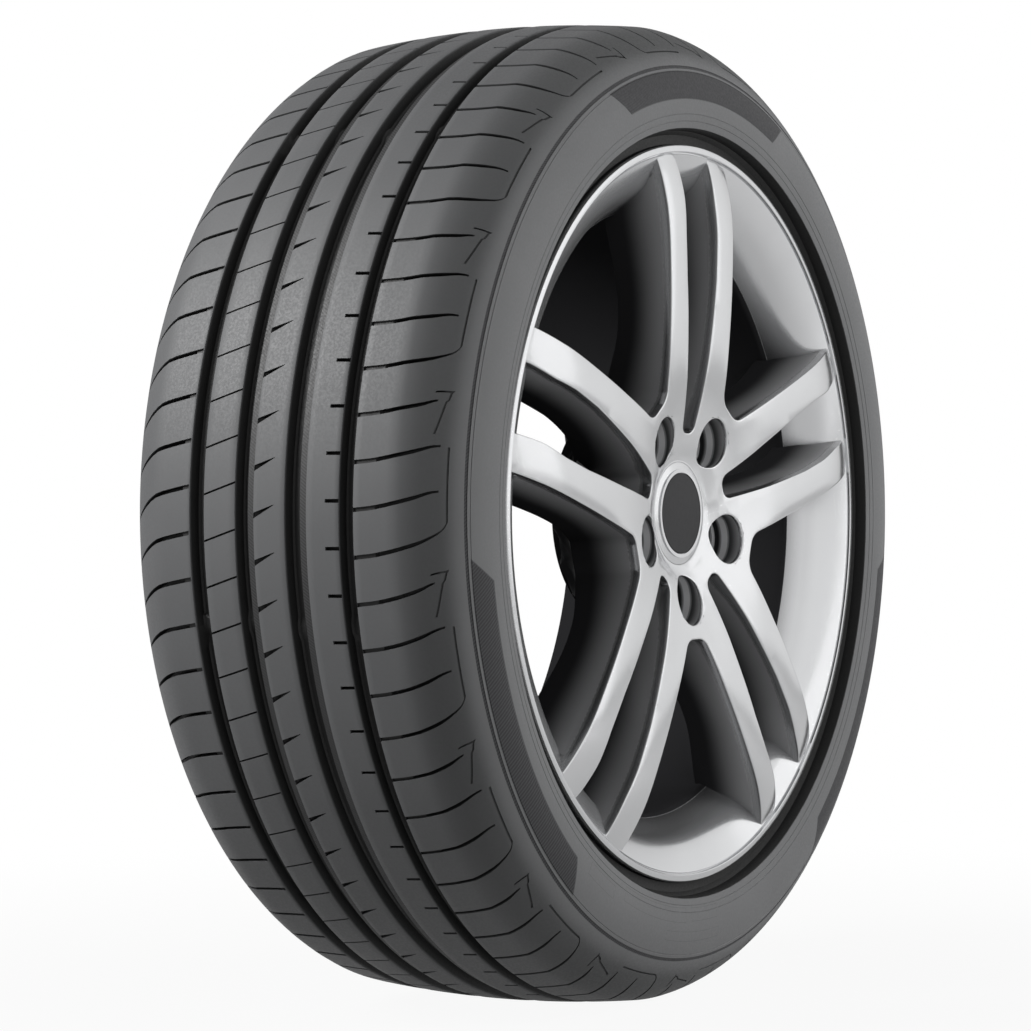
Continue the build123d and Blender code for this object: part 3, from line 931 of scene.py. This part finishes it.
def slice_face(faces, normal, places):
    """Cut flat faces by parallel planes."""
    geom = faces + [e for f in faces for e in f.edges] + [v for f in faces for v in f.verts]
    for place in places:
        geom = bmesh.ops.bisect_plane(star_bm, geom=list(set(geom)), dist=0.5, plane_co=normal * place,
                                      plane_no=normal)["geom"]


def whole_star(bm):
    """Mirror half a sector, turn copies of it about the axle and join them."""
    bmesh.ops.mirror(bm, geom=all_of(bm), matrix=Matrix.Identity(4), merge_dist=seam_reach, axis="X")
    turn_copies(bm, spoke_count)
    bmesh.ops.remove_doubles(bm, verts=bm.verts, dist=join_reach)


face = flat_face(outline)
flat_face(pocket_arc)[pocket_layer] = 1
slice_face([face], Vector((0, 0, 1)), cross_slices)
slice_face([f for f in star_bm.faces if not f[pocket_layer]], Vector((1, 0, 0)), long_slices)
whole_star(star_bm)
for face in star_bm.faces:
    face.normal_update()
    if face.normal.y > 0:
        face.normal_flip()
print("star", len(star_bm.faces), "faces", len(star_bm.verts), "points")

# %% [markdown]
# ### Slab and pockets
# The flat star is extruded to a slab whose walls lean, as a casting needs them to leave its mould. The hub's
# hole follows its own profile. The bolt pockets are sunk ring by ring, with a seat round each hole; painted
# shade darkens their mouths and corners and leaves a painted highlight on the wall's middle and on the seat.

# %% Slab with drafted walls
slab = 60.0
wall_draft = 4.5
wall_rows = (0.0, 0.09, 0.25, 0.5, 0.75, 1.0)
wall_tilt = 0.5
hub_profile = ((33.2, -101.0), (33.2, -99.1), (30.5, -99.1), (30.5, -76.5), (28.55, -75.0), (28.55, -48.0),
               (30.0, -47.5))
drop_layer = star_bm.verts.layers.float.new("drop")
fixed_layer = star_bm.verts.layers.float.new("fixed")
painted_shade_layer = star_bm.verts.layers.float.new("painted_shade")
matt_layer = star_bm.verts.layers.float.new("matt")
pocket_back = [f for f in star_bm.faces if f[pocket_layer]]


def at_hub(vert):
    """True for points on the wall of the hub's hole."""
    return from_axle(vert) < hub_hole + 0.1


front = faces_of(bmesh.ops.extrude_face_region(star_bm, geom=all_of(star_bm), use_keep_orig=True)["geom"])
bmesh.ops.translate(star_bm, vec=(0, -slab, 0), verts=list(points_of(front)))
upright = [e for e in star_bm.edges if abs(e.verts[0].co.y - e.verts[1].co.y) > slab / 2]
in_hub = [e for e in upright if at_hub(e.verts[0])]
at_arms = [e for e in upright if not at_hub(e.verts[0])]
bmesh.ops.subdivide_edges(star_bm, edges=in_hub, cuts=len(hub_profile) - 2)
bmesh.ops.subdivide_edges(star_bm, edges=at_arms, cuts=len(wall_rows) - 2)
# Down the walls and the hub's hole, the painted shade grows with the depth behind the front.
for vert in star_bm.verts:
    share = 1 + vert.co.y / slab
    if not at_hub(vert):
        share = wall_rows[round(share * (len(wall_rows) - 1))]
        vert.co.y = (share - 1) * slab
    vert[painted_shade_layer] = share
outward = {}
for face in star_bm.faces:
    face.normal_update()
    if abs(face.normal.y) < wall_tilt:
        for vert in face.verts:
            outward[vert] = outward.get(vert, Vector()) + face.normal
for vert, normal in outward.items():
    share = 1 + vert.co.y / slab
    if at_hub(vert):
        ring, place = hub_profile[round(share * (len(hub_profile) - 1))]
        set_radius(vert, ring)
        vert[fixed_layer] = place
    else:
        vert.co += normal.normalized() * wall_draft * share
print("slab", len(star_bm.faces), "faces,", len(outward), "wall points")

# %% Bolt pockets
# Each ring has a place and a painted shade: dark at the mouth and corner, a painted highlight mid-wall and
# seat.
pocket_rings = ((-103.6, 0.55), (-102.0, 0.6), (-100.2, 0.0), (-96.0, 0.0), (-94.4, 0.5), (-92.4, 0.9))
seat_steps = ((0.9, -91.5, 0.9), (0.5, -91.4, 0.02), (3.0, -91.4, 0.0), (0.5, -90.6, 0.3),
              (0.35, -68.0, 0.8), (0.5, -66.0, 0.8), (3.0, -57.8, 0.9))
hole_reach = 9
face_front = [f for f in front if not f[pocket_layer]]
pocket_floor = [f for f in front if f[pocket_layer]]


def set_ring(faces, place, shade):
    """Place the points of a pocket's floor, give them their painted shade and make them matt."""
    for vert in points_of(faces):
        vert[fixed_layer] = place
        vert[painted_shade_layer] = shade
        vert[matt_layer] = 1.0


def inset(bm, faces, thickness):
    """Draw a rim of even width inside the border of some faces."""
    bmesh.ops.inset_region(bm, faces=faces, thickness=thickness, use_boundary=True, use_even_offset=True)


for place, shade in pocket_rings:
    pocket_floor = pushed(star_bm, pocket_floor)
    set_ring(pocket_floor, place, shade)
for reach, place, shade in seat_steps:
    inset(star_bm, pocket_floor, reach)
    set_ring(pocket_floor, place, shade)
inset(star_bm, pocket_back, sum(reach for reach, place, shade in seat_steps))
bmesh.ops.delete(star_bm, geom=pocket_floor + pocket_back, context="FACES")
for k in range(spoke_count):
    centre = Matrix.Rotation(2 * k * half_sector, 2) @ bolt_centre
    ends = [e for e in star_bm.edges if e.is_boundary
            and hypot(e.verts[0].co.x - centre.x, e.verts[0].co.z - centre.y) < hole_reach]
    bmesh.ops.bridge_loops(star_bm, edges=ends)
print("pockets cut, open edges left", sum(e.is_boundary for e in star_bm.edges))

# %% Rounded front edges
# Each step is an inset, a drop and a painted shade that darkens the colour over the rounded edge into the
# wall.
edge_steps = ((0.0, 0.85, 0.08), (0.25, 0.3, 0.03), (0.5, 0.04, 0.0), (0.45, 0.0, 0.0))
face_set = set(face_front)
for step, drop, shade in edge_steps:
    if step:
        inset(star_bm, face_front, step)
    for vert in points_of(face_front):
        if any(f not in face_set for f in vert.link_faces) and not vert[fixed_layer]:
            vert[drop_layer] = drop
            in_pocket = any(f[pocket_layer] for f in vert.link_faces)
            vert[painted_shade_layer] = 0.0 if in_pocket else shade
print("front edges", len(star_bm.faces), "faces")

# %% [markdown]
# ### Crowned form
# The spokes' front is dished round the cap, rises to a crown and falls to the lip, and each arm is slightly
# cambered. The back runs from the hub pad in a cone to the rim. Points that would pass through the barrel's
# wall are drawn in to its middle.

# %% Lift the star onto its crowned form
crown_place = -119.9
crown_ring = 172.0
hub_front = -104.6
hub_fall, hub_run, hub_power = 15.0, 132, 2.4
rim_fall, rim_run, rim_power = 9.4, 60, 2.5
cap_dish = 2.6
dish_span = (35, 47)
arm_camber = 0.5
camber_span = (84, 120)
wall_middle = ((-111.5, 232.6), (-104.0, 215.0), (-78.5, 196.8))
back_form = ((58, -46.0), (67, -46.0), (73, -57.0), (85, -68.0), (104, -76.0), (124, -81.5), (150, -82.0),
             (197, -74.0), (240, -74.0))


def front_place(radius):
    """Front of the spokes: dished round the cap, highest at the crown, falling to the rim."""
    if radius < crown_ring:
        dish = cap_dish * (1 - smooth_step(radius, *dish_span))
        return min(hub_front, crown_place + hub_fall * ((crown_ring - radius) / hub_run) ** hub_power) + dish
    return crown_place + rim_fall * ((radius - crown_ring) / rim_run) ** rim_power


def camber(x, z):
    """Drop of the front from the middle of an arm to its edges."""
    radius = hypot(x, z)
    turn = (atan2(x, z) + half_sector) % (2 * half_sector) - half_sector
    across, run = abs(radius * sin(turn)), radius * cos(turn)
    inner = along(run, gap_edge)
    outer = along(run, [(place, edge) for edge, place in arm_edge])
    share = (2 * across - inner - outer) / (outer - inner)
    return arm_camber * min(1.0, share ** 2) * smooth_step(run, *camber_span)


for vert in star_bm.verts:
    radius = from_axle(vert)
    share = 1 + vert.co.y / slab
    top = front_place(radius) + camber(vert.co.x, vert.co.z) + vert[drop_layer]
    place = vert[fixed_layer] or top + (flowing(radius, back_form) - top) * share
    vert.co.y = place
    reach = along(place, wall_middle)
    if radius > reach:
        set_radius(vert, reach)
print("front of the spokes at", round(min(v.co.y for v in star_bm.verts), 1), "mm")

# %% [markdown]
# ### Back of the hub
# Behind the gap of each pair, a web ties the two arms together. The flat pad with the bolt holes is what the
# car's hub carries. Both are small solids that are joined to the star.

# %% Webs behind the gaps
web_stations = ((46, 9.5, -48.5), (66, 12.0, -52.0), (75, 13.2, -63.0), (85, 14.6, -70.2))
web_front = -71.0
web_painted_shade = 0.4


def join_star(bm, name):
    """Move a bmesh into the star; gives the new points."""
    mesh = to_mesh(bm, name)
    points_before = len(star_bm.verts)
    star_bm.from_mesh(mesh)
    bpy.data.meshes.remove(mesh)
    star_bm.verts.ensure_lookup_table()
    return star_bm.verts[points_before:]


web_bm = bmesh.new()
rows = []
for station, half, place in web_stations:
    corners = ((-half, web_front), (half, web_front), (half, place), (-half, place))
    rows.append([web_bm.verts.new((x, y, station)) for x, y in corners])
for first, second in zip(rows, rows[1:]):
    for k in range(4):
        web_bm.faces.new((first[k - 1], first[k], second[k], second[k - 1]))
web_bm.faces.new(rows[0])
web_bm.faces.new(rows[-1])
turn_copies(web_bm, spoke_count)
web_points = join_star(web_bm, "gap_webs")
painted_shade_layer = star_bm.verts.layers.float["painted_shade"]
# The webs get a middling painted shade.
for vert in web_points:
    vert[painted_shade_layer] = web_painted_shade
print("with webs", len(star_bm.faces), "faces")

# %% Hub pad
pad_radius = 67.0
pad_bore = 28.55
pad_hole = 7.25
pad_front = -50.0
pad_back = -45.0
pad_edge = 0.8
pad_painted_shade = 0.1
pad_outline = turned_points(on_window_axis(pad_bore), half_sector, steps=8)
pad_outline += turned_points(Vector((0, pad_radius)), -half_sector, steps=12)
pad_outline += turned_points(on_window_axis(pad_hole), pi, steps=10, centre=bolt_centre)
pad_bm = bmesh.new()
pad_bm.faces.new([pad_bm.verts.new((p.x, pad_front, p.y)) for p in pad_outline])
whole_star(pad_bm)
pad_faces = faces_of(bmesh.ops.extrude_face_region(pad_bm, geom=all_of(pad_bm), use_keep_orig=True)["geom"])
for vert in points_of(pad_faces):
    vert.co.y = pad_back - pad_edge
inset(pad_bm, pad_faces, pad_edge)
for vert in points_of(pad_faces):
    vert.co.y = pad_back
pad_points = join_star(pad_bm, "hub_pad")
painted_shade_layer = star_bm.verts.layers.float["painted_shade"]
# The pad's front gets a light painted shade and its back a full one.
for vert in pad_points:
    vert[painted_shade_layer] = pad_painted_shade if vert.co.y > pad_back - pad_edge / 2 else 1.0
print("with pad", len(star_bm.faces), "faces")

# %% [markdown]
# ## Rim barrel
# The barrel is one closed section turned about the axle, as the real one is turned on a lathe after casting:
# the bright lip with its fine line, the bowl behind it, the flanges, the bead seats, the well and the inside.

# %% Turned section
bowl = ((-77.4, 193.8), (-78.9, 194.3), (-80.0, 195.2), (-80.8, 195.8), (-81.4, 196.25), (-84.0, 198.2),
        (-88.5, 201.2), (-93.0, 204.1), (-97.0, 206.9), (-100.5, 209.9), (-103.4, 213.4), (-105.8, 217.4),
        (-107.9, 221.6), (-109.7, 225.6), (-111.0, 228.6))
lip = ((-111.4, 229.6), (-110.7, 230.0), (-110.7, 230.7), (-112.6, 231.0), (-113.0, 231.5), (-113.0, 234.0),
       (-112.6, 235.0), (-111.4, 235.7))
roll = ((-107.46, 235.08), (-104.38, 233.02), (-102.32, 229.94), (-101.6, 226.3), (-101.6, 218.3))
well = ((-79.6, 216.4), (-69.6, 199.8), (-23.6, 199.8), (-1.6, 213.5), (79.6, 216.4))
rear_lip = ((112.6, 235.4), (113.0, 234.4), (113.0, 231.5))
inside = ((101.6, 212.3), (-1.6, 207.5), (-23.6, 193.8), (-70.0, 193.8))
barrel = bowl + lip + roll + well + tuple((-y, r) for y, r in reversed(roll)) + rear_lip + inside
bowl_painted_shade = ((-111.0, 0.0), (-96.0, 0.0), (-81.4, 0.06), (-80.8, 1.0))
inside_radius = 212.4
inside_place = -78.0
bowl_radius = 229.0
barrel_steps = 192
ring = [star_bm.verts.new((0, place, radius)) for place, radius in barrel]
# Painted shade: full inside the barrel, and rising over the bowl towards its inner end.
for vert, (place, radius) in zip(ring, barrel):
    if radius < inside_radius and place > inside_place:
        vert[painted_shade_layer] = 1.0
    elif place < 0 and radius < bowl_radius:
        vert[painted_shade_layer] = along(place, bowl_painted_shade)
wire = [star_bm.edges.new((a, b)) for a, b in zip(ring, ring[1:] + ring[:1])]
bmesh.ops.spin(star_bm, geom=ring + wire, **axle, angle=2 * pi, steps=barrel_steps, use_merge=True,
               use_duplicate=False)
finish_piece(star_bm, "wheel_cast", wheel_silver, ["alloy_wheel"], sharp=34.0)
